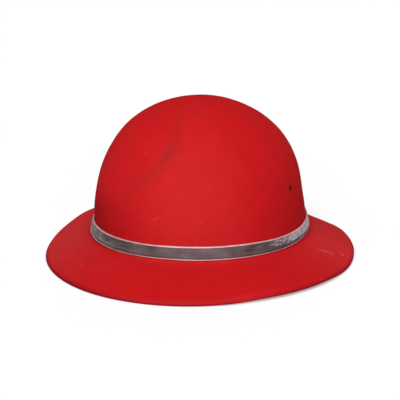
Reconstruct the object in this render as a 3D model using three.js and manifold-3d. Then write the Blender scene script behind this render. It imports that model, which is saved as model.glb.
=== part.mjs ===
// Round-crowned felt hat with a drooping brim and a velvet ribbon band.
// Lengths are in millimetres and angles in degrees, and +Z is up. The hat faces -Y, the wearer's
// left is +X, and it rests by its brim on the plane z = 0, with the origin under the brim's middle.

import * as THREE from 'three';
import Module from 'manifold-3d';
import { mergeVertices } from 'three/addons/utils/BufferGeometryUtils.js';

// Felt body
const feltThickness = 2.4;
const brimLength = 279.8;
const brimWidth = 267.7;
const collarLength = 197.4;
const collarWidth = 179;
const collarHeight = 34.6;
const collarRise = 1.3;
const crownHeight = 102.9;
const crownSidePower = 2.7;
const crownTopPower = 2.04;
const ovalTrim = 0.0075;

// The crown's foot under the ribbon leans out, then turns into the brim
const seatLength = 10.7;
const seatLean = 12.5;
const turnRadius = 4;
const turnEnd = 62;

// Brim: how much its fall is bowed rather than straight, and how much more so in front than behind
const brimBow = 0.17;
const brimBowFront = 0.19;
const lipWidth = 5.5;
const lipFade = 1.5;

// Ribbon
const ribbonWidth = 12;
const pileThickness = 1.1;
const selvedgeThickness = 0.8;
const upperSelvedge = 1.2;
const lowerSelvedge = 0.8;
const ribbonClearance = 0.3;
const ribbonLap = 25;
const lapAngle = 175;

// Hole through the crown, by its angle and its share of the crown's height
const holeDiameter = 3;
const holeAngle = 94;
const holeHeight = 0.33;

// Facets
const around = 72;
const crownRings = 14;
const brimRings = 6;
const edgeSteps = 3;
const holeSides = 12;

// Crown sections, from the collar to the top. Each height is a share of the crown's height. The
// size is a share of a plain rounded crown on the collar, and the lean forward a share of its height.
const crownSections = [
  { height: 0.00, size: 1.000, lean: 0.000 },
  { height: 0.08, size: 0.993, lean: 0.010 },
  { height: 0.20, size: 0.981, lean: 0.016 },
  { height: 0.40, size: 0.971, lean: 0.011 },
  { height: 0.60, size: 0.960, lean: 0.011 },
  { height: 0.80, size: 0.948, lean: 0.029 },
  { height: 0.95, size: 0.911, lean: 0.050 },
  { height: 1.00, size: 0.900, lean: 0.056 },
];

// How far the brim's edge lifts off the table, as a share of the collar's height, by the angle from
// the front towards the wearer's left
const brimLift = [
  { angle: 0, lift: 0 },
  { angle: 20, lift: 0 },
  { angle: 40, lift: 0.01 },
  { angle: 60, lift: 0.05 },
  { angle: 80, lift: 0.045 },
  { angle: 100, lift: 0.01 },
  { angle: 120, lift: 0.05 },
  { angle: 140, lift: 0.06 },
  { angle: 160, lift: 0 },
  { angle: 180, lift: 0 },
  { angle: 200, lift: 0.02 },
  { angle: 220, lift: 0.1 },
  { angle: 240, lift: 0.22 },
  { angle: 260, lift: 0.27 },
  { angle: 280, lift: 0.12 },
  { angle: 300, lift: 0.01 },
  { angle: 320, lift: 0 },
  { angle: 340, lift: 0 },
  { angle: 360, lift: 0 },
];

const { degToRad, lerp, clamp } = THREE.MathUtils;
const cosDeg = (angle) => Math.cos(degToRad(angle));
const sinDeg = (angle) => Math.sin(degToRad(angle));
const wrap = (angle) => ((angle % 360) + 360) % 360;

// Smooth curve through a table's rows that never swings past a row
function along(table, place, column, at) {
  const slope = (k) =>
    (table[k + 1][column] - table[k][column]) / (table[k + 1][place] - table[k][place]);
  const tangent = (k) => {
    if (k === 0) return slope(0);
    if (k === table.length - 1) return slope(k - 1);
    const before = slope(k - 1);
    const after = slope(k);
    return before * after <= 0 ? 0 : (2 * before * after) / (before + after);
  };
  let row = 0;
  while (row < table.length - 2 && at > table[row + 1][place]) row += 1;
  const span = table[row + 1][place] - table[row][place];
  const t = clamp((at - table[row][place]) / span, 0, 1);
  const startPull = tangent(row) * span;
  const endPull = tangent(row + 1) * span;
  const start = table[row][column];
  const end = table[row + 1][column];
  return start * (1 + 2 * t) * (1 - t) ** 2 + startPull * t * (1 - t) ** 2
    + end * t * t * (3 - 2 * t) + endPull * t * t * (t - 1);
}

const liftAt = (angle) => along(brimLift, 'angle', 'lift', wrap(angle)) * collarHeight;
const riseAt = (angle) => collarRise * cosDeg(2 * angle);

// A point of an oval ring, by its half sizes, its height and its shift towards the front
function ovalPoint(halfLength, halfWidth, height, forward, angle) {
  const trim = 1 - ovalTrim * (1 - cosDeg(4 * angle)) / 2;
  return new THREE.Vector3(
    halfWidth * trim * sinDeg(angle),
    -halfLength * trim * cosDeg(angle) - forward,
    height,
  );
}

// Crown, from 0 at the top to 1 at the collar
function crownPoint(part, angle) {
  const height = cosDeg(90 * part);
  const round = Math.max(1 - height ** crownSidePower, 0) ** (1 / crownTopPower);
  const size = round * along(crownSections, 'height', 'size', height);
  const lean = along(crownSections, 'height', 'lean', height) * crownHeight;
  const level = collarHeight + riseAt(angle) * (1 - height) + crownHeight * height;
  return ovalPoint(size * collarLength / 2, size * collarWidth / 2, level, lean, angle);
}

// Outward and downward travel from the collar to a point further down the foot
const turnStart = seatLean;
const turnLength = turnRadius * degToRad(turnEnd - turnStart);
const footLength = seatLength + turnLength;

function footTravel(run) {
  const straight = Math.min(run, seatLength);
  const heading = turnStart + THREE.MathUtils.radToDeg(Math.max(run - seatLength, 0) / turnRadius);
  return {
    out: straight * sinDeg(seatLean) + turnRadius * (cosDeg(turnStart) - cosDeg(heading)),
    down: straight * cosDeg(seatLean) + turnRadius * (sinDeg(heading) - sinDeg(turnStart)),
  };
}

function footPoint(run, angle) {
  const { out, down } = footTravel(run);
  const level = collarHeight + riseAt(angle) - down;
  return ovalPoint(collarLength / 2 + out, collarWidth / 2 + out, level, 0, angle);
}

// Brim, from 0 at the crown's foot to 1 at the edge's rounding
const foot = footTravel(footLength);
const brimStart = { length: collarLength / 2 + foot.out, width: collarWidth / 2 + foot.out };
const brimEnd = { length: (brimLength - feltThickness) / 2, width: (brimWidth - feltThickness) / 2 };
const meanBrimRun = (brimEnd.length + brimEnd.width - brimStart.length - brimStart.width) / 2;
const lipStart = 1 - lipWidth / meanBrimRun;

function brimPoint(part, angle) {
  const lift = liftAt(angle);
  const top = collarHeight + riseAt(angle) - foot.down;
  const bottom = feltThickness + lift;
  const bend = brimBow + brimBowFront * cosDeg(angle);
  const bow = (t) => t * (1 - bend) + t * t * bend;
  const resting = clamp(1 - lift / lipFade, 0, 1);
  const drop = lerp(bow(part), bow(Math.min(part / lipStart, 1)), resting);
  const halfLength = lerp(brimStart.length, brimEnd.length, part);
  const halfWidth = lerp(brimStart.width, brimEnd.width, part);
  return ovalPoint(halfLength, halfWidth, lerp(top, bottom, drop), 0, angle);
}

// The felt's outer face, by one running place: crown 0 to 1, foot 1 to 2, brim 2 to 3
function feltPoint(place, angle) {
  if (place <= 1) return crownPoint(place, angle);
  if (place <= 2) return footPoint((place - 1) * footLength, angle);
  return brimPoint(Math.min(place - 2, 1), angle);
}

const nudge = 1e-3;

function slopeOut(place, angle) {
  const before = feltPoint(Math.max(place - nudge, 0), angle);
  const after = feltPoint(Math.min(place + nudge, 3), angle);
  return after.sub(before).normalize();
}

function feltNormal(place, angle) {
  const turn = feltPoint(place, angle + nudge).sub(feltPoint(place, angle - nudge));
  return slopeOut(place, angle).cross(turn).normalize();
}

const raised = (place, angle, height) =>
  feltPoint(place, angle).addScaledVector(feltNormal(place, angle), height);

// Joins rings of points into quads. Both ends may close on a point.
function ringsGeometry(rings, firstPoint, lastPoint) {
  const count = rings[0].length;
  const points = [firstPoint, ...rings.flat(), lastPoint];
  const at = (ring, k) => 1 + ring * count + (k % count);
  const last = points.length - 1;
  const faces = [];
  for (let k = 0; k < count; k += 1) {
    faces.push(0, at(0, k), at(0, k + 1));
    for (let ring = 0; ring < rings.length - 1; ring += 1) {
      faces.push(at(ring, k), at(ring + 1, k), at(ring + 1, k + 1));
      faces.push(at(ring, k), at(ring + 1, k + 1), at(ring, k + 1));
    }
    faces.push(at(rings.length - 1, k), last, at(rings.length - 1, k + 1));
  }
  const geometry = new THREE.BufferGeometry();
  geometry.setAttribute('position', new THREE.Float32BufferAttribute(points.flatMap((p) => [...p]), 3));
  geometry.setIndex(faces);
  return geometry;
}

// Manifold solids for the hole
const manifold = await Module();
manifold.setup();

function toSolid(geometry) {
  const bare = geometry.clone();
  bare.deleteAttribute('normal');
  bare.deleteAttribute('uv');
  const merged = mergeVertices(bare, 1e-4);
  return new manifold.Manifold(new manifold.Mesh({
    numProp: 3,
    vertProperties: new Float32Array(merged.attributes.position.array),
    triVerts: new Uint32Array(merged.index.array),
  }));
}

function toGeometry(solid) {
  const { vertProperties, triVerts } = solid.getMesh();
  const geometry = new THREE.BufferGeometry();
  geometry.setAttribute('position', new THREE.Float32BufferAttribute(vertProperties, 3));
  geometry.setIndex([...triVerts]);
  return geometry;
}

// Crown and brim as one hollow shell of felt
function feltShell() {
  const angles = Array.from({ length: around }, (_, k) => (360 * k) / around);
  const lipPlaces = [lipStart, lerp(lipStart, 1, 0.25), 1];
  const places = [
    ...Array.from({ length: crownRings }, (_, k) => (k + 1) / crownRings),
    ...[0.4, seatLength / footLength, lerp(seatLength / footLength, 1, 0.5), 1].map((t) => 1 + t),
    ...Array.from({ length: brimRings - 1 }, (_, k) => 2 + (lipStart * (k + 1)) / brimRings),
    ...lipPlaces.map((t) => 2 + t),
  ];
  const outer = places.map((place) => angles.map((angle) => feltPoint(place, angle)));
  const inner = places.map((place) => angles.map((angle) => raised(place, angle, -feltThickness)));
  const edge = Array.from({ length: edgeSteps }, (_, step) => angles.map((angle) => {
    const roll = (180 * (step + 1)) / (edgeSteps + 1);
    const middle = raised(3, angle, -feltThickness / 2);
    middle.addScaledVector(feltNormal(3, angle), (cosDeg(roll) * feltThickness) / 2);
    return middle.addScaledVector(slopeOut(3, angle), (sinDeg(roll) * feltThickness) / 2);
  }));
  const top = feltPoint(0, 0);
  const under = top.clone().setZ(top.z - feltThickness);
  return ringsGeometry([...outer, ...edge, ...inner.reverse()], top, under);
}

// A drill across the crown's wall
function holeDrill() {
  const place = Math.acos(holeHeight) / (Math.PI / 2);
  const middle = raised(place, holeAngle, -feltThickness / 2);
  const drill = new THREE.CylinderGeometry(holeDiameter / 2, holeDiameter / 2, feltThickness * 4, holeSides);
  const turn = new THREE.Quaternion();
  turn.setFromUnitVectors(new THREE.Vector3(0, 1, 0), feltNormal(place, holeAngle));
  return drill.applyQuaternion(turn).translate(middle.x, middle.y, middle.z);
}

function feltGeometry() {
  return toGeometry(toSolid(feltShell()).subtract(toSolid(holeDrill())));
}

// The ribbon's section: how far across it from its upper edge, and how far above its underside
function ribbonSection() {
  const across = [0, seatLength, ribbonWidth];
  const under = across.map((run) => ({ run, height: 0 }));
  const face = [
    { run: ribbonWidth, height: selvedgeThickness },
    { run: ribbonWidth - lowerSelvedge, height: selvedgeThickness },
    { run: ribbonWidth - lowerSelvedge, height: pileThickness },
    { run: seatLength, height: pileThickness },
    { run: upperSelvedge, height: pileThickness },
    { run: upperSelvedge, height: selvedgeThickness },
    { run: 0, height: selvedgeThickness },
  ];
  return [...under, ...face];
}

// The ribbon runs once round from the lap's start, then climbs over its own end
function ribbonGeometry() {
  const section = ribbonSection();
  const lapTurn = THREE.MathUtils.radToDeg(ribbonLap / (collarLength / 2));
  const step = 360 / around;
  const climb = step / 2;
  const stations = Array.from({ length: around }, (_, k) => k * step);
  stations.push(360 - climb, 360 - climb / 2, 360);
  for (let turn = step; turn < lapTurn; turn += step) stations.push(360 + turn);
  stations.push(360 + lapTurn);
  stations.sort((a, b) => a - b);
  const start = Math.round(lapAngle / step) * step;
  const points = stations.flatMap((turn) => {
    const over = clamp((turn - (360 - climb)) / climb, 0, 1) * (pileThickness + ribbonClearance);
    return section.map(({ run, height }) =>
      raised(1 + run / footLength, start + turn, ribbonClearance + height + over));
  });
  const count = section.length;
  const faces = [];
  for (let k = 0; k < stations.length - 1; k += 1) {
    for (let j = 0; j < count; j += 1) {
      const a = k * count + j;
      const b = k * count + ((j + 1) % count);
      faces.push(a, b + count, b, a, a + count, b + count);
    }
  }
  const outline = section.map(({ run, height }) => new THREE.Vector2(run, height));
  const end = (stations.length - 1) * count;
  for (const [a, b, c] of THREE.ShapeUtils.triangulateShape(outline, [])) {
    faces.push(a, b, c, end + a, end + c, end + b);
  }
  const geometry = new THREE.BufferGeometry();
  geometry.setAttribute('position', new THREE.Float32BufferAttribute(points.flatMap((p) => [...p]), 3));
  geometry.setIndex(faces);
  return geometry;
}

const felt = new THREE.MeshStandardMaterial({ color: 0xc81e22, roughness: 0.95, metalness: 0 });
const velvet = new THREE.MeshStandardMaterial({ color: 0x5a4e52, roughness: 0.9, metalness: 0 });

function piece(name, geometry, material) {
  const mesh = new THREE.Mesh(geometry, material);
  mesh.name = name;
  geometry.computeVertexNormals();
  return mesh;
}

const hat = new THREE.Group();
hat.add(piece('felt_body', feltGeometry(), felt));
hat.add(piece('ribbon_band', ribbonGeometry(), velvet));

export default hat;
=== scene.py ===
"""Round felt hat with a velvet ribbon band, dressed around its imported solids."""

import math
from collections import namedtuple

import bmesh
import bpy
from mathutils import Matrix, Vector, noise


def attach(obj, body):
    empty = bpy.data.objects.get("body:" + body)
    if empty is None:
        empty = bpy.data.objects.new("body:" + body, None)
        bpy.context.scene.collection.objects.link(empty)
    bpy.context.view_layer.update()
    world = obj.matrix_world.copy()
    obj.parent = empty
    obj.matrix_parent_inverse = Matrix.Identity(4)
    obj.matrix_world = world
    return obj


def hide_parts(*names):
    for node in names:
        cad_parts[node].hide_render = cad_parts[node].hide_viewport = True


MM = 0.001

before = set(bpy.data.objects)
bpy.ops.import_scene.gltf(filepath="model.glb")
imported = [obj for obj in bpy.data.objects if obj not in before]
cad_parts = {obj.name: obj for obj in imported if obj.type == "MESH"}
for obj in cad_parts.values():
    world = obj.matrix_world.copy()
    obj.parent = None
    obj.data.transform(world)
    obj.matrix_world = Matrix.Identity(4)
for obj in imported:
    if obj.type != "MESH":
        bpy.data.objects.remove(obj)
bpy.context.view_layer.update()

# Felt body, in millimetres and degrees, as in the part's source
FELT_THICKNESS = 2.4
BRIM_LENGTH = 279.8
BRIM_WIDTH = 267.7
COLLAR_LENGTH = 197.4
COLLAR_WIDTH = 179
COLLAR_HEIGHT = 34.6
COLLAR_RISE = 1.3
CROWN_HEIGHT = 102.9
CROWN_SIDE_POWER = 2.7
CROWN_TOP_POWER = 2.04
OVAL_TRIM = 0.0075
SEAT_LENGTH = 10.7
SEAT_LEAN = 12.5
TURN_RADIUS = 4
TURN_END = 62
BRIM_BOW = 0.17
BRIM_BOW_FRONT = 0.19
LIP_WIDTH = 5.5
LIP_FADE = 1.5

# Ribbon
RIBBON_WIDTH = 12
PILE_THICKNESS = 1.1
SELVEDGE_THICKNESS = 0.8
UPPER_SELVEDGE = 1.2
LOWER_SELVEDGE = 1.05
RIBBON_CLEARANCE = 0.3
RIBBON_LAP = 25
LAP_ANGLE = 175

# Hole through the crown
HOLE_DIAMETER = 3
HOLE_ANGLE = 94
HOLE_HEIGHT = 0.33

Section = namedtuple("Section", "height size lean")
CROWN_SECTIONS = [
    Section(0.00, 1.000, 0.000),
    Section(0.08, 0.993, 0.010),
    Section(0.20, 0.981, 0.016),
    Section(0.40, 0.971, 0.011),
    Section(0.60, 0.960, 0.011),
    Section(0.80, 0.948, 0.029),
    Section(0.95, 0.911, 0.050),
    Section(1.00, 0.900, 0.056),
]

Lift = namedtuple("Lift", "angle lift")
BRIM_LIFT = [
    Lift(0, 0),
    Lift(20, 0),
    Lift(40, 0.01),
    Lift(60, 0.05),
    Lift(80, 0.045),
    Lift(100, 0.01),
    Lift(120, 0.05),
    Lift(140, 0.06),
    Lift(160, 0),
    Lift(180, 0),
    Lift(200, 0.02),
    Lift(220, 0.1),
    Lift(240, 0.22),
    Lift(260, 0.27),
    Lift(280, 0.12),
    Lift(300, 0.01),
    Lift(320, 0),
    Lift(340, 0),
    Lift(360, 0),
]


def clamp(value, low=0.0, high=1.0):
    return min(max(value, low), high)


def lerp(start, end, t):
    return start + (end - start) * t


def smooth(t):
    t = clamp(t)
    return t * t * (3 - 2 * t)


def ramp(value, limits):
    """0 at the first limit, 1 at the second, and smooth between them."""
    return smooth((value - limits[0]) / (limits[1] - limits[0]))


def cos_deg(angle):
    return math.cos(math.radians(angle))


def sin_deg(angle):
    return math.sin(math.radians(angle))


def along(table, column, at):
    """Smooth curve through a table's rows that never swings past a row."""

    def slope(k):
        rise = getattr(table[k + 1], column) - getattr(table[k], column)
        return rise / (table[k + 1][0] - table[k][0])

    def tangent(k):
        if k == 0:
            return slope(0)
        if k == len(table) - 1:
            return slope(k - 1)
        before, after = slope(k - 1), slope(k)
        return 0 if before * after <= 0 else 2 * before * after / (before + after)

    row = 0
    while row < len(table) - 2 and at > table[row + 1][0]:
        row += 1
    span = table[row + 1][0] - table[row][0]
    t = clamp((at - table[row][0]) / span)
    start, end = getattr(table[row], column), getattr(table[row + 1], column)
    return (
        start * (1 + 2 * t) * (1 - t) ** 2
        + tangent(row) * span * t * (1 - t) ** 2
        + end * t * t * (3 - 2 * t)
        + tangent(row + 1) * span * t * t * (t - 1)
    )


def lift_at(angle):
    return along(BRIM_LIFT, "lift", angle % 360) * COLLAR_HEIGHT


def rise_at(angle):
    return COLLAR_RISE * cos_deg(2 * angle)


def oval_point(half_length, half_width, height, forward, angle):
    trim = 1 - OVAL_TRIM * (1 - cos_deg(4 * angle)) / 2
    return Vector(
        (
            half_width * trim * sin_deg(angle),
            -half_length * trim * cos_deg(angle) - forward,
            height,
        )
    )


def crown_ring(part):
    """The numbers that one ring of the crown shares: height, size and lean."""
    height = cos_deg(90 * part)
    curve = max(1 - height**CROWN_SIDE_POWER, 0) ** (1 / CROWN_TOP_POWER)
    size = curve * along(CROWN_SECTIONS, "size", height)
    return height, size, along(CROWN_SECTIONS, "lean", height) * CROWN_HEIGHT


def crown_point(ring, angle):
    height, size, lean = ring
    level = COLLAR_HEIGHT + rise_at(angle) * (1 - height) + CROWN_HEIGHT * height
    return oval_point(
        size * COLLAR_LENGTH / 2, size * COLLAR_WIDTH / 2, level, lean, angle
    )


TURN_LENGTH = TURN_RADIUS * math.radians(TURN_END - SEAT_LEAN)
FOOT_LENGTH = SEAT_LENGTH + TURN_LENGTH


def foot_travel(run):
    """Outward and downward travel from the collar to a point further down the foot."""
    straight = min(run, SEAT_LENGTH)
    heading = SEAT_LEAN + math.degrees(max(run - SEAT_LENGTH, 0) / TURN_RADIUS)
    out = straight * sin_deg(SEAT_LEAN)
    out += TURN_RADIUS * (cos_deg(SEAT_LEAN) - cos_deg(heading))
    down = straight * cos_deg(SEAT_LEAN)
    down += TURN_RADIUS * (sin_deg(heading) - sin_deg(SEAT_LEAN))
    return out, down


def foot_point(run, angle):
    out, down = foot_travel(run)
    level = COLLAR_HEIGHT + rise_at(angle) - down
    return oval_point(COLLAR_LENGTH / 2 + out, COLLAR_WIDTH / 2 + out, level, 0, angle)


FOOT_OUT, FOOT_DOWN = foot_travel(FOOT_LENGTH)
BRIM_START = (COLLAR_LENGTH / 2 + FOOT_OUT, COLLAR_WIDTH / 2 + FOOT_OUT)
BRIM_END = ((BRIM_LENGTH - FELT_THICKNESS) / 2, (BRIM_WIDTH - FELT_THICKNESS) / 2)
MEAN_BRIM_RUN = (sum(BRIM_END) - sum(BRIM_START)) / 2
LIP_START = 1 - LIP_WIDTH / MEAN_BRIM_RUN


def resting_at(angle):
    return clamp(1 - lift_at(angle) / LIP_FADE)


def brim_point(part, angle):
    top = COLLAR_HEIGHT + rise_at(angle) - FOOT_DOWN
    bottom = FELT_THICKNESS + lift_at(angle)
    bend = BRIM_BOW + BRIM_BOW_FRONT * cos_deg(angle)

    def bow(t):
        return t * (1 - bend) + t * t * bend

    flat = bow(min(part / LIP_START, 1))
    drop = lerp(bow(part), flat, resting_at(angle))
    half_length = lerp(BRIM_START[0], BRIM_END[0], part)
    half_width = lerp(BRIM_START[1], BRIM_END[1], part)
    return oval_point(half_length, half_width, lerp(top, bottom, drop), 0, angle)


def felt_point(place, angle):
    """The felt's outer face by one running place: crown 0 to 1, foot to 2, brim to 3."""
    if place <= 1:
        return crown_point(crown_ring(place), angle)
    if place <= 2:
        return foot_point((place - 1) * FOOT_LENGTH, angle)
    return brim_point(min(place - 2, 1), angle)


NUDGE = 1e-3


def slope_out(place, angle):
    before = felt_point(max(place - NUDGE, 0), angle)
    after = felt_point(min(place + NUDGE, 3), angle)
    return (after - before).normalized()


def felt_normal(place, angle):
    turn = felt_point(place, angle + NUDGE) - felt_point(place, angle - NUDGE)
    return slope_out(place, angle).cross(turn).normalized()


def raised(place, angle, height):
    return felt_point(place, angle) + felt_normal(place, angle) * height


def crown_spot(height, angle):
    """A point of the crown by its share of the crown's height."""
    return crown_point(crown_ring(math.degrees(math.acos(height)) / 90), angle)


# Wear that the felt shows, as lines of points on its outer face
Soiling = namedtuple("Soiling", "height angle radius strength")
SOILING = [
    Soiling(0.925, 12, 5, 0.10),
    Soiling(0.846, 16, 6, 0.42),
    Soiling(0.745, 15.5, 6.5, 0.54),
    Soiling(0.672, 13, 6.5, 0.70),
    Soiling(0.600, 9.5, 8, 0.44),
    Soiling(0.539, 6, 10, 0.38),
    Soiling(0.437, -3, 13, 0.38),
    Soiling(0.300, -9, 16, 0.15),
]
Groove = namedtuple("Groove", "line depth width")
SOILED_CREASE = Groove(
    [crown_spot(soiling.height, soiling.angle) for soiling in SOILING],
    depth=0.55,
    width=4.0,
)
DENT = Groove(
    [crown_spot(0.378, 74), crown_spot(0.345, 84), crown_spot(0.328, 91)],
    depth=0.4,
    width=1.5,
)
BRIM_CREASE = Groove(
    [brim_point(0.11, 55), brim_point(0.42, 48), brim_point(0.73, 43)],
    depth=0.35,
    width=2.2,
)


def distance_to_line(point, line):
    """Distance to a line of points, and how far along it the nearest place is, 0 to 1."""
    best, where = 1e9, 0.0
    for k in range(len(line) - 1):
        span = line[k + 1] - line[k]
        t = clamp((point - line[k]).dot(span) / span.length_squared)
        gap = (line[k] + span * t - point).length
        if gap < best:
            best, where = gap, (k + t) / (len(line) - 1)
    return best, where


def groove_depth(point, groove):
    """How deep a groove is at a point: deepest along its middle, shallow at its ends."""
    gap, where = distance_to_line(point, groove.line)
    if gap > 3 * groove.width:
        return 0.0
    across = math.exp(-((gap / groove.width) ** 2))
    return groove.depth * across * math.sin(math.pi * clamp(where, 0.06, 0.94))


SOIL_CORE = 0.45
SOIL_HALO = 1.1


def soiled_at(point):
    """How far the dirt round the crease covers a point, 0 to 1."""
    gap, where = distance_to_line(point, SOILED_CREASE.line)
    row = min(int(where * (len(SOILING) - 1)), len(SOILING) - 2)
    t = where * (len(SOILING) - 1) - row
    radius = lerp(SOILING[row].radius, SOILING[row + 1].radius, t)
    strength = lerp(SOILING[row].strength, SOILING[row + 1].strength, t)
    core = math.exp(-((gap / (SOIL_CORE * radius)) ** 2))
    halo = math.exp(-((gap / (SOIL_HALO * radius)) ** 2))
    return strength * (0.6 * core + 0.4 * halo)


# The felt's unevenness, in millimetres: how high it is and how far from crest to crest
SWELL_HEIGHT = 0.45
SWELL_LENGTH = 42
RIPPLE_HEIGHT = 0.16
RIPPLE_LENGTH = 13
NAP_HEIGHT = 0.045
NAP_LENGTH = 3.1
# Running places between which it sets in above the ribbon, below it, and ends at a resting edge
UNEVEN_ABOVE = (1, 0.88)
UNEVEN_BELOW = (2, 2.25)
RESTING_EDGE = (2.6, 2.85)


def felt_relief(point, place, angle):
    """How far the worn felt stands off its even form, in millimetres."""
    swell = SWELL_HEIGHT * noise.noise(point / SWELL_LENGTH)
    swell += RIPPLE_HEIGHT * noise.noise(point / RIPPLE_LENGTH)
    nap = NAP_HEIGHT * noise.noise(point / NAP_LENGTH)
    if place > 2:
        swell *= 1 - resting_at(angle) * ramp(place, RESTING_EDGE)
    relief = (swell + nap) * ramp(place, UNEVEN_ABOVE if place <= 1 else UNEVEN_BELOW)
    if place < 1:
        relief -= groove_depth(point, SOILED_CREASE)
        relief -= groove_depth(point, DENT)
    elif place > 2:
        relief -= groove_depth(point, BRIM_CREASE)
    return relief


# How the felt's red is painted by the angle: painted shade on the crown's flanks, low on the crown
# and on the brim, and at the brim's edge; a painted highlight beside the edge; a painted sheen on
# crown and brim
PaintedLight = namedtuple("PaintedLight", "angle flank low brim edge rub crown_dust brim_dust")
PAINTED_LIGHT = [
    PaintedLight(0, 0.00, 0.16, 0.20, 0.75, 0.20, 0.003, 0.002),
    PaintedLight(10, 0.00, 0.06, 0.20, 0.60, 0.40, 0.009, 0.000),
    PaintedLight(22, 0.00, 0.00, 0.20, 0.55, 0.55, 0.013, 0.000),
    PaintedLight(45, 0.00, 0.00, 0.18, 0.55, 0.42, 0.011, 0.000),
    PaintedLight(58, 0.00, 0.00, 0.18, 0.70, 0.16, 0.004, 0.000),
    PaintedLight(70, 0.04, 0.06, 0.19, 0.90, 0.03, 0.000, 0.001),
    PaintedLight(81, 0.10, 0.11, 0.12, 1.00, 0.00, 0.000, 0.004),
    PaintedLight(93, 0.18, 0.20, 0.06, 1.00, 0.00, 0.000, 0.012),
    PaintedLight(110, 0.24, 0.20, 0.00, 0.95, 0.00, 0.002, 0.024),
    PaintedLight(140, 0.20, 0.20, 0.00, 0.85, 0.00, 0.006, 0.026),
    PaintedLight(180, 0.10, 0.15, 0.00, 0.80, 0.00, 0.008, 0.026),
    PaintedLight(270, 0.12, 0.30, 0.00, 0.85, 0.00, 0.004, 0.028),
    PaintedLight(300, 0.14, 0.45, 0.02, 0.95, 0.00, 0.002, 0.028),
    PaintedLight(314, 0.12, 0.70, 0.06, 1.00, 0.00, 0.002, 0.024),
    PaintedLight(325, 0.05, 0.82, 0.10, 1.00, 0.00, 0.002, 0.016),
    PaintedLight(335, 0.00, 0.68, 0.14, 1.00, 0.00, 0.002, 0.010),
    PaintedLight(345, 0.00, 0.42, 0.17, 0.95, 0.03, 0.002, 0.005),
    PaintedLight(360, 0.00, 0.16, 0.20, 0.75, 0.20, 0.003, 0.002),
]
# Running places between which each of them sets in
FLANK_RANGE = (0.45, 0.70)
LOW_RANGE = (0.76, 0.91)
SHEEN_RANGE = (0.25, 0.70)
BRIM_RANGE = (1.8, 2.2)
HIGHLIGHT_RANGE = (2.82, 2.91)
SHADE_RANGE = (2.93, 3)
SHEEN_AT_TOP = 0.25
SHADE_ABOVE_EDGE = 0.42
# The same round the rolled edge, from its upper side, 0, to its lower side, 1
ROLLED_SHADE_RANGE = (0, 0.5)
ROLLED_HIGHLIGHT_RANGE = (0.25, 0.6)


def painted_by_angle(column, angle):
    return along(PAINTED_LIGHT, column, angle % 360)


# Painted shade: darker on the crown's flanks, low on the crown and on the brim's front
def painted_shade_at(place, angle):
    crown = painted_by_angle("flank", angle) * ramp(place, FLANK_RANGE)
    crown += painted_by_angle("low", angle) * ramp(place, LOW_RANGE)
    return lerp(crown, painted_by_angle("brim", angle), ramp(place, BRIM_RANGE))


# Painted sheen and highlight: paler on the crown's front and on the brim's sides and back
def painted_sheen_at(place, angle):
    crown = painted_by_angle("crown_dust", angle) * lerp(SHEEN_AT_TOP, 1, ramp(place, SHEEN_RANGE))
    return lerp(crown, painted_by_angle("brim_dust", angle), ramp(place, BRIM_RANGE))


# Painted highlight on the brim's upturned front lip, beside its edge
def painted_highlight_at(place, angle):
    return painted_by_angle("rub", angle) * ramp(place, HIGHLIGHT_RANGE)


def shade_above_edge(angle):
    return SHADE_ABOVE_EDGE * (1 - painted_by_angle("rub", angle))


# Painted shade along the brim's edge
def shady_at(place, angle):
    return painted_by_angle("edge", angle) * shade_above_edge(angle) * ramp(place, SHADE_RANGE)


def rolled_shade(share, angle):
    deepening = lerp(shade_above_edge(angle), 1, ramp(share, ROLLED_SHADE_RANGE))
    return painted_by_angle("edge", angle) * deepening


# Painted highlight on the upper side of the rolled edge
def rolled_highlight(share, angle):
    return painted_by_angle("rub", angle) * (1 - ramp(share, ROLLED_HIGHLIGHT_RANGE))


def add_object(name, mesh, materials, shade_smooth=True):
    for material in materials:
        mesh.materials.append(material)
    piece = bpy.data.objects.new(name, mesh)
    bpy.context.scene.collection.objects.link(piece)
    if shade_smooth:
        mesh.shade_smooth()
    return piece


def closed_mesh(name, points, faces):
    """A mesh whose faces all look outwards."""
    mesh = bpy.data.meshes.new(name)
    mesh.from_pydata(points, [], faces)
    work = bmesh.new()
    work.from_mesh(mesh)
    bmesh.ops.recalc_face_normals(work, faces=work.faces)
    work.to_mesh(mesh)
    work.free()
    return mesh


def float_attribute(mesh, name, values):
    layer = mesh.attributes.new(name, "FLOAT", "POINT")
    layer.data.foreach_set("value", values)


# Facets of the fine felt
FELT_AROUND = 288
CROWN_RINGS = 92
FOOT_RINGS = 10
BRIM_RINGS = 34
LIP_RINGS = 9
EDGE_STEPS = 7


def felt_places():
    crown = [(k + 1) / CROWN_RINGS for k in range(CROWN_RINGS)]
    foot = [1 + (k + 1) / FOOT_RINGS for k in range(FOOT_RINGS)]
    brim = [2 + LIP_START * (k + 1) / BRIM_RINGS for k in range(BRIM_RINGS)]
    lip = [2 + lerp(LIP_START, 1, (k + 1) / LIP_RINGS) for k in range(LIP_RINGS)]
    return crown + foot + brim + lip


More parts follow.
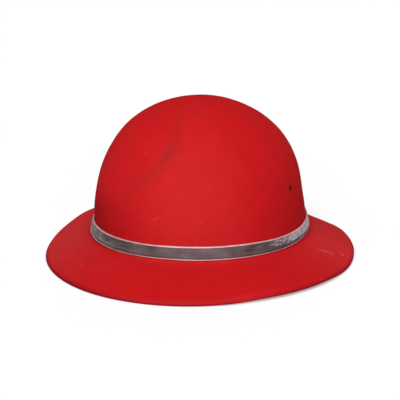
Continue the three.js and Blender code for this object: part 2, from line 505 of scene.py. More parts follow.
def felt_mesh():
    """The felt as one closed shell: outer face, rolled edge, inner face."""
    places = felt_places()
    angles = [360 * k / FELT_AROUND for k in range(FELT_AROUND)]
    outer, inner = [], []
    for place in places:
        outer_ring, inner_ring = [], []
        for angle in angles:
            point, normal = felt_point(place, angle), felt_normal(place, angle)
            relief = felt_relief(point, place, angle)
            outer_ring.append(point + normal * relief)
            inner_ring.append(point + normal * (relief - FELT_THICKNESS))
        outer.append(outer_ring)
        inner.append(inner_ring)
    edge = []
    for step in range(EDGE_STEPS):
        roll = 180 * (step + 1) / (EDGE_STEPS + 1)
        ring = []
        for k, angle in enumerate(angles):
            middle = (outer[-1][k] + inner[-1][k]) / 2
            up = (outer[-1][k] - inner[-1][k]) / 2
            out = slope_out(3, angle) * FELT_THICKNESS / 2
            ring.append(middle + up * cos_deg(roll) + out * sin_deg(roll))
        edge.append(ring)
    top = felt_point(0, 0)
    top_relief = felt_relief(top, 0, 0)
    rings = outer + edge + inner[::-1]
    points = [top + Vector((0, 0, top_relief))]
    points += [point for ring in rings for point in ring]
    points.append(top + Vector((0, 0, top_relief - FELT_THICKNESS)))
    faces = []

    def at(ring, k):
        return 1 + ring * FELT_AROUND + k % FELT_AROUND

    for k in range(FELT_AROUND):
        faces.append((0, at(0, k), at(0, k + 1)))
        for ring in range(len(rings) - 1):
            faces.append(
                (at(ring, k), at(ring + 1, k), at(ring + 1, k + 1), at(ring, k + 1))
            )
        faces.append((at(len(rings) - 1, k), len(points) - 1, at(len(rings) - 1, k + 1)))
    mesh = bpy.data.meshes.new("felt")
    mesh.from_pydata([point * MM for point in points], [], faces)

    def outer_values(name, value_at, roll_values=None, within=0.0):
        """Stores one value for each point: over the outer face, round the edge, within."""
        values = [value_at(0, 0)]
        values += [value_at(place, angle) for place in places for angle in angles]
        for step in range(EDGE_STEPS):
            share = (step + 1) / (EDGE_STEPS + 1)
            values += [roll_values(share, angle) if roll_values else 0.0 for angle in angles]
        values += [within] * (len(points) - len(values))
        float_attribute(mesh, name, values)

    outer_values("inside", lambda place, angle: 0.0, lambda share, angle: share, 1.0)
    # Painted shade by the angle
    outer_values("painted_shade", painted_shade_at, lambda share, angle: painted_shade_at(3, angle))
    # Painted sheen and highlight
    outer_values("dust", painted_sheen_at)
    # Painted highlight on the brim's front lip
    outer_values("painted_highlight", painted_highlight_at, rolled_highlight)
    # Painted shade along the brim's edge and round its rolled edge
    outer_values("shady", shady_at, rolled_shade)
    soiled = [0.0]
    for place, ring in zip(places, outer):
        soiled += [soiled_at(point) if place < 1 else 0.0 for point in ring]
    soiled += [0.0] * (len(points) - len(soiled))
    float_attribute(mesh, "soiled", soiled)
    return mesh


HOLE_PLACE = math.degrees(math.acos(HOLE_HEIGHT)) / 90
HOLE_SIDES = 22
HOLE_WIDTH = 1.08 * HOLE_DIAMETER
HOLE_TALLNESS = 1.32 * HOLE_DIAMETER
HOLE_UNEVENNESS = 0.12


def hole_drill():
    """The cutter of a slightly uneven moth hole, a little taller than wide."""
    normal = felt_normal(HOLE_PLACE, HOLE_ANGLE)
    side = normal.cross(Vector((0, 0, 1))).normalized()
    upright = side.cross(normal)
    middle = raised(HOLE_PLACE, HOLE_ANGLE, -FELT_THICKNESS / 2)
    points = []
    for end in (-1, 1):
        for k in range(HOLE_SIDES):
            turn = 360 * k / HOLE_SIDES
            uneven = 1 + HOLE_UNEVENNESS * noise.noise(Vector((k * 0.9, end, 3)))
            flat = side * cos_deg(turn) * HOLE_WIDTH + upright * sin_deg(turn) * HOLE_TALLNESS
            spot = middle + flat * uneven / 2
            points.append((spot + normal * end * 2 * FELT_THICKNESS) * MM)
    faces = [tuple(range(HOLE_SIDES)), tuple(range(HOLE_SIDES, 2 * HOLE_SIDES))[::-1]]
    for k in range(HOLE_SIDES):
        after = (k + 1) % HOLE_SIDES
        faces.append((k, HOLE_SIDES + k, HOLE_SIDES + after, after))
    mesh = bpy.data.meshes.new("drill")
    mesh.from_pydata(points, [], faces)
    return add_object("drill", mesh, [], shade_smooth=False)


def cut(piece, cutter):
    """Cuts the cutter out of the piece for good, and deletes it."""
    boolean = piece.modifiers.new("hole", "BOOLEAN")
    boolean.operation = "DIFFERENCE"
    boolean.solver = "EXACT"
    boolean.object = cutter
    shown = piece.evaluated_get(bpy.context.evaluated_depsgraph_get())
    mesh = bpy.data.meshes.new_from_object(shown)
    piece.modifiers.clear()
    piece.data = mesh
    bpy.data.objects.remove(cutter)


# Fine section of the ribbon: how far across it, and how far above its underside
Corner = namedtuple("Corner", "run height pile")
SELVEDGE_ROUNDING = 0.15
PILE_ROUNDING = 0.45
PILE_SHOULDER = 0.16
PILE_FOOT = 0.02
SELVEDGE_INNER = 0.06


def ribbon_section():
    upper, lower = UPPER_SELVEDGE, RIBBON_WIDTH - LOWER_SELVEDGE
    woven, pile = SELVEDGE_THICKNESS, PILE_THICKNESS
    under = [Corner(RIBBON_WIDTH * t, 0, 0) for t in (0.02, 0.25, 0.5, 0.75, 0.98)]
    low_edge = [
        Corner(RIBBON_WIDTH, woven * 0.3, 0),
        Corner(RIBBON_WIDTH, woven * 0.7, 0),
        Corner(RIBBON_WIDTH - SELVEDGE_ROUNDING, woven * 0.95, 0),
        Corner(lerp(RIBBON_WIDTH, lower, 0.55), woven, 0),
        Corner(lower + SELVEDGE_INNER, woven * 0.96, 0),
    ]
    low_pile = [
        Corner(lower - PILE_FOOT, lerp(woven, pile, 0.45), 1),
        Corner(lower - PILE_SHOULDER, lerp(woven, pile, 0.85), 1),
        Corner(lower - PILE_ROUNDING, pile, 1),
    ]
    ends = (lower - PILE_ROUNDING, upper + PILE_ROUNDING)
    face = [Corner(lerp(*ends, t / 10), pile, 1) for t in range(1, 10)]
    high_pile = [
        Corner(upper + PILE_ROUNDING, pile, 1),
        Corner(upper + PILE_SHOULDER, lerp(woven, pile, 0.85), 1),
        Corner(upper + PILE_FOOT, lerp(woven, pile, 0.45), 1),
    ]
    high_edge = [
        Corner(upper - SELVEDGE_INNER, woven * 0.96, 0),
        Corner(upper * 0.55, woven, 0),
        Corner(SELVEDGE_ROUNDING, woven * 0.95, 0),
        Corner(0, woven * 0.7, 0),
        Corner(0, woven * 0.3, 0),
    ]
    return under + low_edge + low_pile + face + high_pile + high_edge


RIBBON_STATIONS = 760
LAP_TURN = math.degrees(RIBBON_LAP / (COLLAR_LENGTH / 2))
# Degrees over which the second turn climbs onto the first
CLIMB = 2.5
# The ribbon's end is pressed down by this share over this many stations
END_TUCK = 0.35
TUCK_STATIONS = 2.5
# Unevenness in millimetres: the pile's edges, the selvedges' edges and the tufts
FRAY_HEIGHT = 0.10
FRAY_LENGTH = 1.1
WAVE_HEIGHT = 0.12
WAVE_LENGTH = 19
TUFT_HEIGHT = 0.05
TUFT_LENGTH = 1.7
TUFT_CLUMP = 6


def ribbon_over(turn):
    """How far the ribbon's second turn is lifted by its own start."""
    return smooth((turn - (360 - CLIMB)) / CLIMB) * (PILE_THICKNESS + RIBBON_CLEARANCE)


def ribbon_mesh():
    section = ribbon_section()
    total = 360 + LAP_TURN
    points, pile_values = [], []
    length_values, across_values = [], []
    wear_values = {column: [] for column in PILE_COLUMNS}
    last, length = None, 0.0
    for k in range(RIBBON_STATIONS + 1):
        turn = total * k / RIBBON_STATIONS
        angle = LAP_ANGLE + turn
        middle = foot_point(RIBBON_WIDTH / 2, angle)
        length += (middle - last).length if last else 0.0
        last = middle
        frayed = FRAY_HEIGHT * noise.noise(Vector((length / FRAY_LENGTH, 0, 7)))
        wavy = WAVE_HEIGHT * noise.noise(Vector((length / WAVE_LENGTH, 5, 0)))
        to_end = (total - turn) / total * RIBBON_STATIONS
        tuck = 1 - END_TUCK * (1 - smooth(to_end / TUCK_STATIONS))
        worn = {column: along(PILE_WEAR, column, angle % 360) for column in wear_values}
        top = along(PILE_WEAR, "slipped", angle % 360)
        bottom = RIBBON_WIDTH * (1 - along(PILE_WEAR, "drawn_in", angle % 360))
        for corner in section:
            run = lerp(top, bottom, corner.run / RIBBON_WIDTH)
            run += frayed if corner.pile else wavy * (corner.height > 0)
            height = corner.height
            if corner.pile:
                spot = Vector((length / TUFT_LENGTH, run / TUFT_LENGTH, 0))
                height += TUFT_HEIGHT * noise.noise(spot)
                height += TUFT_HEIGHT * noise.noise(spot / TUFT_CLUMP)
            height = RIBBON_CLEARANCE + height * tuck + ribbon_over(turn)
            place = 1 + clamp(run, 0.0, RIBBON_WIDTH) / FOOT_LENGTH
            points.append(raised(place, angle, height) * MM)
            pile_values.append(float(corner.pile))
            for column, values in wear_values.items():
                values.append(worn[column])
            length_values.append(length * MM)
            across_values.append(corner.run * MM)
    count = len(section)
    faces = []
    for k in range(RIBBON_STATIONS):
        for j in range(count):
            a, b = k * count + j, k * count + (j + 1) % count
            faces.append((a, a + count, b + count, b))
    faces.append(tuple(range(count)))
    faces.append(tuple(range(RIBBON_STATIONS * count, (RIBBON_STATIONS + 1) * count))[::-1])
    mesh = closed_mesh("ribbon", points, faces)
    for name, values in (
        ("pile", pile_values),
        ("run_length", length_values),
        ("run_across", across_values),
        *wear_values.items(),
    ):
        float_attribute(mesh, name, values)
    return mesh, length


# The pile by the angle: how far it is crushed flat, how far it is worn bare, paler there partly as
# painted sheen, and how far that stops short of the lower edge, how clean the selvedges are, how
# grey it is with dust and painted sheen and how marked its lengthwise crease is; then how far the
# upper edge has slipped down, in millimetres, and what share of the width is drawn in at the lower
# edge
Wear = namedtuple("Wear", "angle crushed bare spared clean dusty creased slipped drawn_in")
PILE_COLUMNS = Wear._fields[1:-2]
PILE_WEAR = [
    Wear(0, 0.25, 0.05, 0.0, 0.20, 0.15, 0.20, 0.70, 0.030),
    Wear(9, 0.48, 0.05, 0.0, 0.38, 0.00, 0.05, 0.55, 0.055),
    Wear(20, 0.70, 0.05, 0.0, 0.85, 0.00, 0.00, 0.20, 0.065),
    Wear(34, 0.82, 0.05, 0.0, 1.00, 0.00, 0.00, 0.00, 0.055),
    Wear(50, 0.54, 0.05, 0.0, 0.70, 0.00, 0.00, 0.00, 0.055),
    Wear(60, 0.34, 0.08, 0.0, 0.46, 0.00, 0.00, 0.15, 0.055),
    Wear(68, 0.32, 0.18, 0.5, 0.28, 0.00, 0.00, 0.45, 0.050),
    Wear(76, 0.27, 0.40, 1.0, 0.28, 0.00, 0.00, 0.90, 0.035),
    Wear(84, 0.20, 0.58, 1.2, 0.45, 0.00, 0.00, 1.20, 0.030),
    Wear(95, 0.20, 0.84, 1.2, 0.60, 0.00, 0.00, 1.30, 0.055),
    Wear(115, 0.30, 0.98, 1.0, 0.60, 0.00, 0.00, 1.30, 0.100),
    Wear(135, 0.40, 0.55, 0.2, 0.50, 0.20, 0.00, 0.40, 0.030),
    Wear(160, 0.40, 0.30, 0.0, 0.50, 0.30, 0.00, 0.00, 0.000),
    Wear(250, 0.50, 0.25, 0.0, 0.50, 0.60, 0.00, 0.00, 0.000),
    Wear(285, 0.80, 0.20, 0.0, 0.50, 1.00, 0.00, 0.00, 0.000),
    Wear(305, 0.80, 0.16, 0.0, 0.45, 1.00, 0.10, 0.00, 0.000),
    Wear(315, 0.68, 0.14, 0.0, 0.40, 0.95, 0.35, 0.10, 0.000),
    Wear(327, 0.42, 0.12, 0.0, 0.30, 0.75, 0.80, 0.35, 0.000),
    Wear(338, 0.20, 0.08, 0.0, 0.24, 0.60, 1.00, 0.65, 0.005),
    Wear(350, 0.02, 0.05, 0.0, 0.18, 0.30, 0.40, 0.75, 0.015),
    Wear(360, 0.25, 0.05, 0.0, 0.20, 0.15, 0.20, 0.70, 0.030),
]


STITCHES = 5
STITCH_SIDES = 8
STITCH_STEPS = 8
THREAD_RADIUS = 0.22
STITCH_MARGIN = 1.6
STITCH_FROM = -1.0
STITCH_TO = 0.55
STITCH_SLANT = 0.25
STITCH_SINK = 0.5


def stitch_mesh():
    """Small stitches that tack the ribbon's end down over its start."""
    points, faces = [], []
    end = LAP_ANGLE + 360 + LAP_TURN
    for n in range(STITCHES):
        run = lerp(STITCH_MARGIN, RIBBON_WIDTH - STITCH_MARGIN, n / (STITCHES - 1))
        place = 1 + run / FOOT_LENGTH
        slant = STITCH_SLANT * (-1) ** n
        path = []
        for step in range(STITCH_STEPS + 1):
            t = step / STITCH_STEPS
            angle = end + lerp(STITCH_FROM, STITCH_TO, t) + slant * (t - 0.5)
            on_top = PILE_THICKNESS + ribbon_over(360 + LAP_TURN)
            level = lerp(on_top, PILE_THICKNESS, smooth((t - 0.5) / 0.25))
            sink = STITCH_SINK * abs(2 * t - 1) ** 6
            path.append((place, angle, RIBBON_CLEARANCE + level + THREAD_RADIUS * 0.7 - sink))
        centres = [raised(*spot) for spot in path]
        start = len(points)
        for k, centre in enumerate(centres):
            ahead = centres[min(k + 1, STITCH_STEPS)] - centres[max(k - 1, 0)]
            normal = felt_normal(*path[k][:2])
            side = ahead.cross(normal).normalized()
            lift = side.cross(ahead).normalized()
            for j in range(STITCH_SIDES):
                turn = 360 * j / STITCH_SIDES
                offset = side * cos_deg(turn) + lift * sin_deg(turn)
                points.append((centre + offset * THREAD_RADIUS) * MM)
        for k in range(STITCH_STEPS):
            for j in range(STITCH_SIDES):
                a = start + k * STITCH_SIDES + j
                b = start + k * STITCH_SIDES + (j + 1) % STITCH_SIDES
                faces.append((a, b, b + STITCH_SIDES, a + STITCH_SIDES))
        first = tuple(range(start, start + STITCH_SIDES))
        final = tuple(k + STITCH_STEPS * STITCH_SIDES for k in first)
        faces += [first[::-1], final]
    return closed_mesh("stitches", points, faces)


class Nodes:
    """A material's node tree with short ways to add and join nodes."""

    def __init__(self, name):
        self.material = bpy.data.materials.new(name)
        self.material.use_nodes = True
        self.tree = self.material.node_tree
        self.tree.nodes.clear()
        self.output = self.tree.nodes.new("ShaderNodeOutputMaterial")
        self.place = self.tree.nodes.new("ShaderNodeTexCoord").outputs["Object"]

    def add(self, kind, settings=None, inputs=None):
        node = self.tree.nodes.new(kind)
        for key, value in (settings or {}).items():
            setattr(node, key, value)
        for key, value in (inputs or {}).items():
            self.feed(node.inputs[key], value)
        return node

    def feed(self, socket, value):
        if isinstance(value, bpy.types.NodeSocket):
            self.tree.links.new(value, socket)
        else:
            socket.default_value = value

    def noise(self, scale, detail=2.0, roughness=0.5, distortion=0.0, place=None):
        inputs = {"Vector": place or self.place, "Scale": scale, "Detail": detail}
        inputs["Roughness"] = roughness
        inputs["Distortion"] = distortion
        return self.add("ShaderNodeTexNoise", inputs=inputs).outputs["Fac"]

    def math(self, operation, *values, clamped=False):
        node = self.add("ShaderNodeMath", {"operation": operation, "use_clamp": clamped})
        for k, value in enumerate(values):
            self.feed(node.inputs[k], value)
        return node.outputs[0]

    def remap(self, value, low, high, to_low=0.0, to_high=1.0):
        inputs = {"Value": value, "From Min": low, "From Max": high}
        inputs["To Min"] = to_low
        inputs["To Max"] = to_high
        node = self.add("ShaderNodeMapRange", {"interpolation_type": "SMOOTHSTEP"}, inputs)
        return node.outputs[0]

    def mix(self, share, first, second, blend="MIX"):
        node = self.add("ShaderNodeMix", {"data_type": "RGBA", "blend_type": blend})
        self.feed(node.inputs["Factor"], share)
        self.feed(node.inputs[6], first)
        self.feed(node.inputs[7], second)
        return node.outputs[2]

    def shade(self, share, colour, by):
        """The colour, multiplied by another as far as the share says."""
        return self.mix(share, colour, self.mix(1.0, colour, by, "MULTIPLY"))

    def attribute(self, name):
        return self.add("ShaderNodeAttribute", {"attribute_name": name}).outputs["Fac"]

    def near_line(self, start, end, radius, place):
        """1 on a straight line between two points and 0 beyond a radius from it."""
        span = end - start
        to_start = self.add("ShaderNodeVectorMath", {"operation": "SUBTRACT"})
        self.feed(to_start.inputs[0], place)
        to_start.inputs[1].default_value = start
        dot = self.add("ShaderNodeVectorMath", {"operation": "DOT_PRODUCT"})
        self.feed(dot.inputs[0], to_start.outputs[0])
        dot.inputs[1].default_value = span / span.length_squared
        share = self.math("MULTIPLY", dot.outputs["Value"], 1.0, clamped=True)
        scaled = self.add("ShaderNodeVectorMath", {"operation": "SCALE"})
        scaled.inputs[0].default_value = span
        self.feed(scaled.inputs["Scale"], share)
        gap = self.add("ShaderNodeVectorMath", {"operation": "DISTANCE"})
        self.feed(gap.inputs[0], to_start.outputs[0])
        self.feed(gap.inputs[1], scaled.outputs[0])
        return self.remap(gap.outputs["Value"], radius, radius * 0.3)

    def wobbled(self, scale, amount):
        """The object's coordinates, pushed about by a noise."""
        pushed = self.add("ShaderNodeTexNoise", inputs={"Vector": self.place, "Scale": scale})
        centred = self.add("ShaderNodeVectorMath", {"operation": "SUBTRACT"})
        self.feed(centred.inputs[0], pushed.outputs["Color"])
        centred.inputs[1].default_value = (0.5, 0.5, 0.5)
        scaled = self.add("ShaderNodeVectorMath", {"operation": "SCALE"})
        self.feed(scaled.inputs[0], centred.outputs[0])
        scaled.inputs["Scale"].default_value = amount
        total = self.add("ShaderNodeVectorMath", {"operation": "ADD"})
        self.feed(total.inputs[0], self.place)
        self.feed(total.inputs[1], scaled.outputs[0])
        return total.outputs[0]

    def finish(self, colour, bump_height, bump_distance, bump_strength, **values):
        bump = self.add("ShaderNodeBump")
        bump.inputs["Strength"].default_value = bump_strength
        bump.inputs["Distance"].default_value = bump_distance
        self.feed(bump.inputs["Height"], bump_height)
        shader = self.add("ShaderNodeBsdfPrincipled")
        self.feed(shader.inputs["Base Color"], colour)
        self.feed(shader.inputs["Normal"], bump.outputs[0])
        for key, value in values.items():
            self.feed(shader.inputs[key.replace("_", " ")], value)
        self.tree.links.new(shader.outputs[0], self.output.inputs["Surface"])
        return self.material


def red(share):
    """A linear red of the felt's hue, by its brightness."""
    return (0.443 * share, 0.0074 * share, 0.0092 * share, 1)


# Pale scuffs and flecks on the outer face, each from one point to another
Scuff = namedtuple("Scuff", "start end radius strength")
SCUFFS = [
    Scuff(brim_point(0.35, 98.6), brim_point(0.47, 101), 2.0, 0.06),
    Scuff(brim_point(0.46, 101.4), brim_point(0.60, 103), 2.1, 0.08),
    Scuff(brim_point(0.79, 107), brim_point(0.81, 107.3), 0.75, 0.38),
    Scuff(brim_point(0.74, 107), brim_point(0.75, 107.2), 0.7, 0.15),
    Scuff(brim_point(0.95, 132), brim_point(0.96, 132.6), 0.8, 0.4),
    Scuff(brim_point(0.945, 80.6), brim_point(0.985, 80.6), 0.6, 0.25),
    Scuff(brim_point(0.53, 336), brim_point(0.55, 336.4), 0.9, 0.16),
    Scuff(brim_point(0.96, 300), brim_point(0.97, 300.5), 0.7, 0.35),
    Scuff(crown_spot(0.215, 13), crown_spot(0.190, 10), 1.0, 0.045),
    Scuff(crown_spot(0.672, 356), crown_spot(0.668, 359), 1.3, 0.018),
    Scuff(crown_spot(0.193, 34), crown_spot(0.196, 36), 1.1, 0.02),
    Scuff(crown_spot(0.318, 31), crown_spot(0.30, 32), 1.1, 0.02),
]
# Dark specks: a double dot and two faint marks
SPECKS = [
    Scuff(crown_spot(0.392, 34.5), crown_spot(0.388, 34.9), 0.7, 0.45),
    Scuff(crown_spot(0.394, 36.4), crown_spot(0.390, 36.7), 0.7, 0.4),
    Scuff(crown_spot(0.506, 65), crown_spot(0.500, 66), 0.9, 0.3),
    Scuff(crown_spot(0.623, 82), crown_spot(0.615, 82.6), 0.9, 0.3),
]


# Linear colours of the felt
WARM_SHADE = (0.9, 0.86, 0.88, 1)
FIBRE_TIP = (0.9, 0.25, 0.24, 1)
SOIL = (0.235, 0.012, 0.012, 1)
SCUFFED = (0.80, 0.36, 0.33, 1)
SPECK = (0.16, 0.012, 0.014, 1)
# Painted shade inside the hole
HOLE_SHADE = (0.125, 0.006, 0.003, 1)
LINT = (0.8, 0.42, 0.38, 1)
# Painted shade on the crown's flanks, low on the crown and on the brim's front
PAINTED_SHADE = (0.60, 0.35, 0.45, 1)
# Painted sheen and highlight on the crown's front and the brim's sides and back
PAINTED_SHEEN = (0.75, 0.45, 0.45, 1)
# Painted highlight on the brim's front lip
PAINTED_HIGHLIGHT = (0.57, 0.022, 0.025, 1)
EDGE_SHADE = (0.36, 0.55, 1.10, 1)
INSIDE_SHADE = (0.8, 0.72, 0.75, 1)
# Shares at which some of them cover it
FIBRE_COVER = 0.10
HOLE_SHADE_COVER = 0.92
LINT_COVER = 0.12
# How many millimetres round its axis and past its ends the painted shade in and round the hole
# reaches
HOLE_SHADE_REACH = 4.0
HOLE_OVERSHOOT = 0.5


def felt_material():
    nodes = Nodes("wool_felt")
    blotch = nodes.noise(16, 3, 0.55)
    cloud = nodes.noise(75, 3, 0.6)
    nap = nodes.noise(900, 4, 0.65, 0.6)
    fibre = nodes.noise(2600, 3, 0.7, 1.5)
    colour = nodes.mix(nodes.remap(blotch, 0.3, 0.7), red(0.97), red(1.03))
    colour = nodes.mix(nodes.remap(cloud, 0.35, 0.7), colour, red(1.05))
    colour = nodes.shade(nodes.remap(nap, 0.58, 0.36), colour, WARM_SHADE)
    paler = nodes.mix(FIBRE_COVER, colour, FIBRE_TIP)
    colour = nodes.mix(nodes.remap(fibre, 0.56, 0.72), colour, paler)
    patchy = nodes.remap(cloud, 0.3, 0.62, 0.55, 1.0)
    soil = nodes.math("MULTIPLY", nodes.attribute("soiled"), patchy)
    colour = nodes.mix(soil, colour, SOIL)
    fine = nodes.wobbled(900, 0.0012)
    for marks, mark_colour in ((SCUFFS, SCUFFED), (SPECKS, SPECK)):
        for mark in marks:
            near = nodes.near_line(mark.start * MM, mark.end * MM, mark.radius * MM, fine)
            share = nodes.math("MULTIPLY", near, mark.strength)
            colour = nodes.mix(share, colour, mark_colour)
    # Painted shade inside the hole and round its mouth
    hole_mouth = raised(HOLE_PLACE, HOLE_ANGLE, HOLE_OVERSHOOT) * MM
    hole_back = raised(HOLE_PLACE, HOLE_ANGLE, -FELT_THICKNESS - HOLE_OVERSHOOT) * MM
    near = nodes.near_line(hole_mouth, hole_back, HOLE_SHADE_REACH * MM, fine)
    colour = nodes.mix(nodes.math("MULTIPLY", near, HOLE_SHADE_COVER), colour, HOLE_SHADE)
    cells = nodes.add("ShaderNodeTexVoronoi", {"feature": "F1"}, {"Vector": fine, "Scale": 130.0})
    keep = nodes.remap(nodes.noise(60, 0), 0.62, 0.66)
    flecks = nodes.math("MULTIPLY", nodes.remap(cells.outputs["Distance"], 0.07, 0.03), keep)
    colour = nodes.mix(nodes.math("MULTIPLY", flecks, LINT_COVER), colour, LINT)
    # Painted shade on the crown's flanks, low on the crown and on the brim's front
    colour = nodes.shade(nodes.attribute("painted_shade"), colour, PAINTED_SHADE)
    # Painted sheen and highlight on the crown's front and the brim's sides and back
    colour = nodes.mix(nodes.attribute("dust"), colour, PAINTED_SHEEN)
    # Painted highlight on the brim's upturned front lip
    colour = nodes.mix(nodes.attribute("painted_highlight"), colour, PAINTED_HIGHLIGHT)
    # Painted shade along the brim's edge and round its rolled edge
    colour = nodes.shade(nodes.attribute("shady"), colour, EDGE_SHADE)
    colour = nodes.shade(nodes.attribute("inside"), colour, INSIDE_SHADE)
    return nodes.finish(
        colour,
        bump_height=nodes.math("MULTIPLY_ADD", fibre, 0.5, nap),
        bump_distance=0.0005,
        bump_strength=0.3,
        Roughness=0.92,
        Specular_IOR_Level=0.0,
        Sheen_Weight=0.015,
        Sheen_Roughness=0.5,
        Sheen_Tint=(1.0, 0.6, 0.62, 1),
    )


# Linear colours of the ribbon's pile, greyer with dust and painted sheen, of the backing where it
# is worn bare and paler with painted sheen, and of its edges
DEEP_PILE = (0.040, 0.022, 0.025, 1)
DEEP_DUST_AND_SHEEN_PILE = (0.074, 0.064, 0.061, 1)
PALE_PILE = (0.145, 0.100, 0.105, 1)
PALE_DUST_AND_SHEEN_PILE = (0.215, 0.197, 0.185, 1)
CREASED_PILE = (0.20, 0.165, 0.175, 1)
DARK_BACKING = (0.215, 0.203, 0.210, 1)
PALE_BACKING = (0.53, 0.515, 0.53, 1)
BACKING_FLECK = (0.06, 0.045, 0.048, 1)
BACKING_SLOT = (0.10, 0.082, 0.088, 1)
# Painted shadow of the pile beside the selvedges
SELVEDGE_SHADOW = (0.52, 0.47, 0.50, 1)
DARK_DUSTY_EDGE = (0.27, 0.160, 0.168, 1)
PALE_DUSTY_EDGE = (0.42, 0.255, 0.270, 1)
DARK_CLEAN_EDGE = (0.70, 0.385, 0.400, 1)
PALE_CLEAN_EDGE = (0.88, 0.490, 0.510, 1)
RIB_GAP = (0.26, 0.16, 0.17, 1)
# Places across the ribbon and its weave's pitch, in metres
CREASE_ACROSS = 0.0077
CREASE_FADE = (0.0011, 0.0002)
SPARED_FADE = (0.0070, 0.0090)
UPPER_SHADE_FADE = (0.0030, 0.0012)
LOWER_SHADE_FADE = (0.0088, 0.0106)
RIB_PITCH = 0.00075


def velvet_material():
    nodes = Nodes("velvet_pile")
    length, across = nodes.attribute("run_length"), nodes.attribute("run_across")
    # Greyer pile: dust, and painted sheen at the ribbon's grazing ends
    dusty = nodes.attribute("dusty")
    lay = nodes.add("ShaderNodeCombineXYZ", inputs={"X": length, "Y": across}).outputs[0]
    drawn = nodes.add("ShaderNodeVectorMath", {"operation": "MULTIPLY"}, {0: lay, 1: (0.16, 1, 1)})
    leaning = nodes.math("MULTIPLY_ADD", across, 0.5, length)
    flattened = nodes.math("MULTIPLY", across, 0.45)
    slant = nodes.add("ShaderNodeCombineXYZ", inputs={"X": leaning, "Y": flattened}).outputs[0]
    crush = nodes.noise(60, 2, 0.5, 0.4, lay)
    streak = nodes.noise(420, 3, 0.6, 0.3, drawn.outputs[0])
    fleck = nodes.noise(760, 2, 0.55, 0.0, slant)
    tuft = nodes.noise(1000, 3, 0.7, 0.0, lay)
    slot = nodes.noise(210, 2, 0.5, 0.0, slant)

    # Pile, from deep to crushed pale
    streakiness = nodes.math("MULTIPLY_ADD", dusty, 0.36, 0.14)
    streaked = nodes.math("MULTIPLY", nodes.remap(streak, 0.3, 0.7, -1.0, 1.0), streakiness)
    uneven = nodes.remap(crush, 0.3, 0.7, -0.16, 0.16)
    mottle = nodes.math("MULTIPLY", nodes.remap(fleck, 0.35, 0.65, -0.5, 0.5), dusty)
    crushed = nodes.math("ADD", nodes.attribute("crushed"), uneven)
    crushed = nodes.math("ADD", crushed, mottle)
    crushed = nodes.math("ADD", crushed, streaked, clamped=True)
    deep = nodes.mix(dusty, DEEP_PILE, DEEP_DUST_AND_SHEEN_PILE)
    pale = nodes.mix(dusty, PALE_PILE, PALE_DUST_AND_SHEEN_PILE)
    colour = nodes.mix(crushed, deep, pale)
    from_crease = nodes.math("ABSOLUTE", nodes.math("SUBTRACT", across, CREASE_ACROSS))
    on_crease = nodes.remap(from_crease, *CREASE_FADE, 0.0, 0.6)
    creased = nodes.math("MULTIPLY", on_crease, nodes.attribute("creased"))
    colour = nodes.mix(creased, colour, CREASED_PILE)

    # Backing, shown where the pile is worn bare; paler at the ribbon's right end partly as painted
    # sheen
    spared = nodes.math("MULTIPLY", nodes.attribute("spared"), nodes.remap(across, *SPARED_FADE))
    bare = nodes.math("MULTIPLY_ADD", spared, -0.45, nodes.attribute("bare"))
    grain = nodes.math("MULTIPLY_ADD", streak, 0.25, nodes.math("MULTIPLY", fleck, 0.5))
    grain = nodes.math("MULTIPLY_ADD", tuft, 0.25, grain)
    level = nodes.math("MULTIPLY_ADD", bare, 0.34, grain)
    backing = nodes.mix(nodes.remap(tuft, 0.35, 0.65), DARK_BACKING, PALE_BACKING)
    backing = nodes.mix(nodes.remap(fleck, 0.43, 0.34, 0.0, 0.75), backing, BACKING_FLECK)
    backing = nodes.mix(nodes.remap(slot, 0.46, 0.36, 0.0, 0.5), backing, BACKING_SLOT)
    colour = nodes.mix(nodes.remap(level, 0.60, 0.76), colour, backing)

    # Painted shadow of the pile, darker along both selvedges
    upper = nodes.remap(across, *UPPER_SHADE_FADE, 0.0, 0.40)
    lower = nodes.remap(across, *LOWER_SHADE_FADE, 0.0, 0.45)
    colour = nodes.shade(nodes.math("ADD", upper, lower), colour, SELVEDGE_SHADOW)
    return nodes.finish(
        colour,
        bump_height=nodes.math("MULTIPLY_ADD", tuft, 0.6, crush),
        bump_distance=0.0005,
        bump_strength=0.5,
        Roughness=0.85,
        Specular_IOR_Level=0.15,
        Sheen_Weight=0.15,
        Sheen_Roughness=0.3,
        Sheen_Tint=(0.9, 0.84, 0.86, 1),
    )


def selvedge_material():
    nodes = Nodes("woven_selvedge")
    length, across = nodes.attribute("run_length"), nodes.attribute("run_across")
    ribs = nodes.math("SINE", nodes.math("MULTIPLY", length, 2 * math.pi / RIB_PITCH))
    lay = nodes.add("ShaderNodeCombineXYZ", inputs={"X": length, "Y": across}).outputs[0]
    dirt = nodes.remap(nodes.noise(180, 3, 0.6, 0.0, lay), 0.35, 0.7)
    dusty = nodes.mix(dirt, DARK_DUSTY_EDGE, PALE_DUSTY_EDGE)
    clean = nodes.mix(dirt, DARK_CLEAN_EDGE, PALE_CLEAN_EDGE)
    colour = nodes.mix(nodes.attribute("clean"), dusty, clean)
    colour = nodes.mix(nodes.remap(ribs, -0.2, -1.0, 0.0, 0.4), colour, RIB_GAP)
    return nodes.finish(
        colour,
        bump_height=nodes.remap(ribs, -1, 1),
        bump_distance=0.0002,
        bump_strength=0.6,
        Roughness=0.75,
        Specular_IOR_Level=0.2,
        Sheen_Weight=0.15,
        Sheen_Roughness=0.4,
    )


DARK_THREAD = (0.05, 0.035, 0.04, 1)
PALE_THREAD = (0.16, 0.13, 0.135, 1)


def thread_material():
    nodes = Nodes("sewing_thread")
    twist = nodes.noise(1600, 2, 0.5)
    colour = nodes.mix(twist, DARK_THREAD, PALE_THREAD)
    return nodes.finish(
        colour,
        bump_height=twist,
        bump_distance=0.0001,
        bump_strength=0.4,
        Roughness=0.6,
        Specular_IOR_Level=0.4,
    )


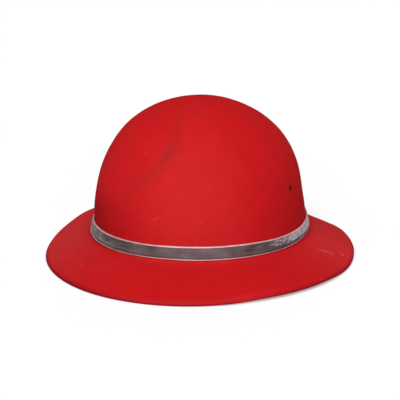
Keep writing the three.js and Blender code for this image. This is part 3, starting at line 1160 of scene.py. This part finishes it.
DARK_PAPER = (0.62, 0.62, 0.62, 1)
PALE_PAPER = (0.65, 0.65, 0.65, 1)


def floor_material():
    """Pale paper, lit a little from below so that shadows on it stay soft."""
    nodes = Nodes("paper_floor")
    grain = nodes.noise(300, 2)
    colour = nodes.mix(grain, DARK_PAPER, PALE_PAPER)
    return nodes.finish(
        colour,
        bump_height=grain,
        bump_distance=0.0001,
        bump_strength=0.1,
        Roughness=0.8,
        Specular_IOR_Level=0.1,
        Emission_Color=(1, 1, 1, 1),
        Emission_Strength=0.32,
    )


felt = add_object("felt", felt_mesh(), [felt_material()])
cut(felt, hole_drill())
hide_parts("felt_body")
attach(felt, "root")

ribbon_data, ribbon_length = ribbon_mesh()
ribbon = add_object("ribbon", ribbon_data, [velvet_material(), selvedge_material()])
pile_of = [item.value for item in ribbon_data.attributes["pile"].data]
for face in ribbon_data.polygons:
    face.material_index = 0 if min(pile_of[v] for v in face.vertices) > 0.5 else 1
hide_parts("ribbon_band")
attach(ribbon, "root")

stitches = add_object("ribbon_stitches", stitch_mesh(), [thread_material()])
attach(stitches, "root")

# Floor
HALF_FLOOR = 5.0
FLOOR_LEVEL = -0.0001
floor_mesh = bpy.data.meshes.new("floor")
corners = [
    (-HALF_FLOOR, -HALF_FLOOR, FLOOR_LEVEL),
    (HALF_FLOOR, -HALF_FLOOR, FLOOR_LEVEL),
    (HALF_FLOOR, HALF_FLOOR, FLOOR_LEVEL),
    (-HALF_FLOOR, HALF_FLOOR, FLOOR_LEVEL),
]
floor_mesh.from_pydata(corners, [], [(0, 1, 2, 3)])
floor = add_object("floor", floor_mesh, [floor_material()], shade_smooth=False)

# Camera, at the photograph's angle
CAMERA_AZIMUTH = 32
CAMERA_ELEVATION = 15.95
CAMERA_DISTANCE = 1.1
CAMERA_CENTRE = Vector((0, 0, 0.060))
LENS = 114.44
SENSOR_WIDTH = 36
AIM_HEIGHT = 0.0455
AIM_LEFT = 0.0006


def direction_to(azimuth, elevation):
    """Unit vector from the hat to where a camera or lamp stands."""
    level = cos_deg(elevation)
    return Vector((sin_deg(azimuth) * level, -cos_deg(azimuth) * level, sin_deg(elevation)))


camera_data = bpy.data.cameras.new("camera")
camera_data.lens = LENS
camera_data.sensor_width = SENSOR_WIDTH
camera = bpy.data.objects.new("camera", camera_data)
bpy.context.scene.collection.objects.link(camera)
towards = direction_to(CAMERA_AZIMUTH, CAMERA_ELEVATION)
camera.location = CAMERA_CENTRE + towards * CAMERA_DISTANCE
image_right = Vector((cos_deg(CAMERA_AZIMUTH), sin_deg(CAMERA_AZIMUTH), 0))
aim = Vector((0, 0, AIM_HEIGHT)) - image_right * AIM_LEFT
camera.rotation_mode = "QUATERNION"
camera.rotation_quaternion = (aim - camera.location).to_track_quat("-Z", "Y")
bpy.context.scene.camera = camera

# Light: a white sky that is brighter near the horizon, up to this height
SKY_STRENGTH = 0.12
HORIZON_GLOW = 0.6
GLOW_FROM = 0.02
GLOW_TO = 0.2
world = bpy.data.worlds.new("studio")
bpy.context.scene.world = world
world.use_nodes = True
world_tree = world.node_tree
background = world_tree.nodes["Background"]
background.inputs["Color"].default_value = (1, 1, 1, 1)
sky = world_tree.nodes.new("ShaderNodeTexCoord").outputs["Generated"]
split = world_tree.nodes.new("ShaderNodeSeparateXYZ")
glow = world_tree.nodes.new("ShaderNodeMapRange")
glow.interpolation_type = "SMOOTHSTEP"
glow.inputs["From Min"].default_value = GLOW_FROM
glow.inputs["From Max"].default_value = GLOW_TO
glow.inputs["To Min"].default_value = HORIZON_GLOW
glow.inputs["To Max"].default_value = SKY_STRENGTH
world_tree.links.new(sky, split.inputs[0])
world_tree.links.new(split.outputs["Z"], glow.inputs["Value"])
world_tree.links.new(glow.outputs[0], background.inputs["Strength"])
bpy.context.scene.view_settings.view_transform = "Standard"

# Far soft lights: where each stands, how wide it looks from the hat, and its strength
Lamp = namedtuple("Lamp", "name azimuth elevation spread strength")
LAMPS = [
    Lamp("front", 32, 20, 50, 1.22),
    Lamp("key", 25, 62, 50, 2.65),
    Lamp("side", -15, 35, 50, 0.13),
    Lamp("back", 205, 50, 50, 0.30),
]


def add_lamp(lamp):
    data = bpy.data.lights.new(lamp.name, "SUN")
    data.angle = math.radians(lamp.spread)
    data.energy = lamp.strength
    light = bpy.data.objects.new(lamp.name, data)
    bpy.context.scene.collection.objects.link(light)
    direction = direction_to(lamp.azimuth, lamp.elevation)
    light.rotation_mode = "QUATERNION"
    light.rotation_quaternion = (-direction).to_track_quat("-Z", "Y")


for lamp in LAMPS:
    add_lamp(lamp)
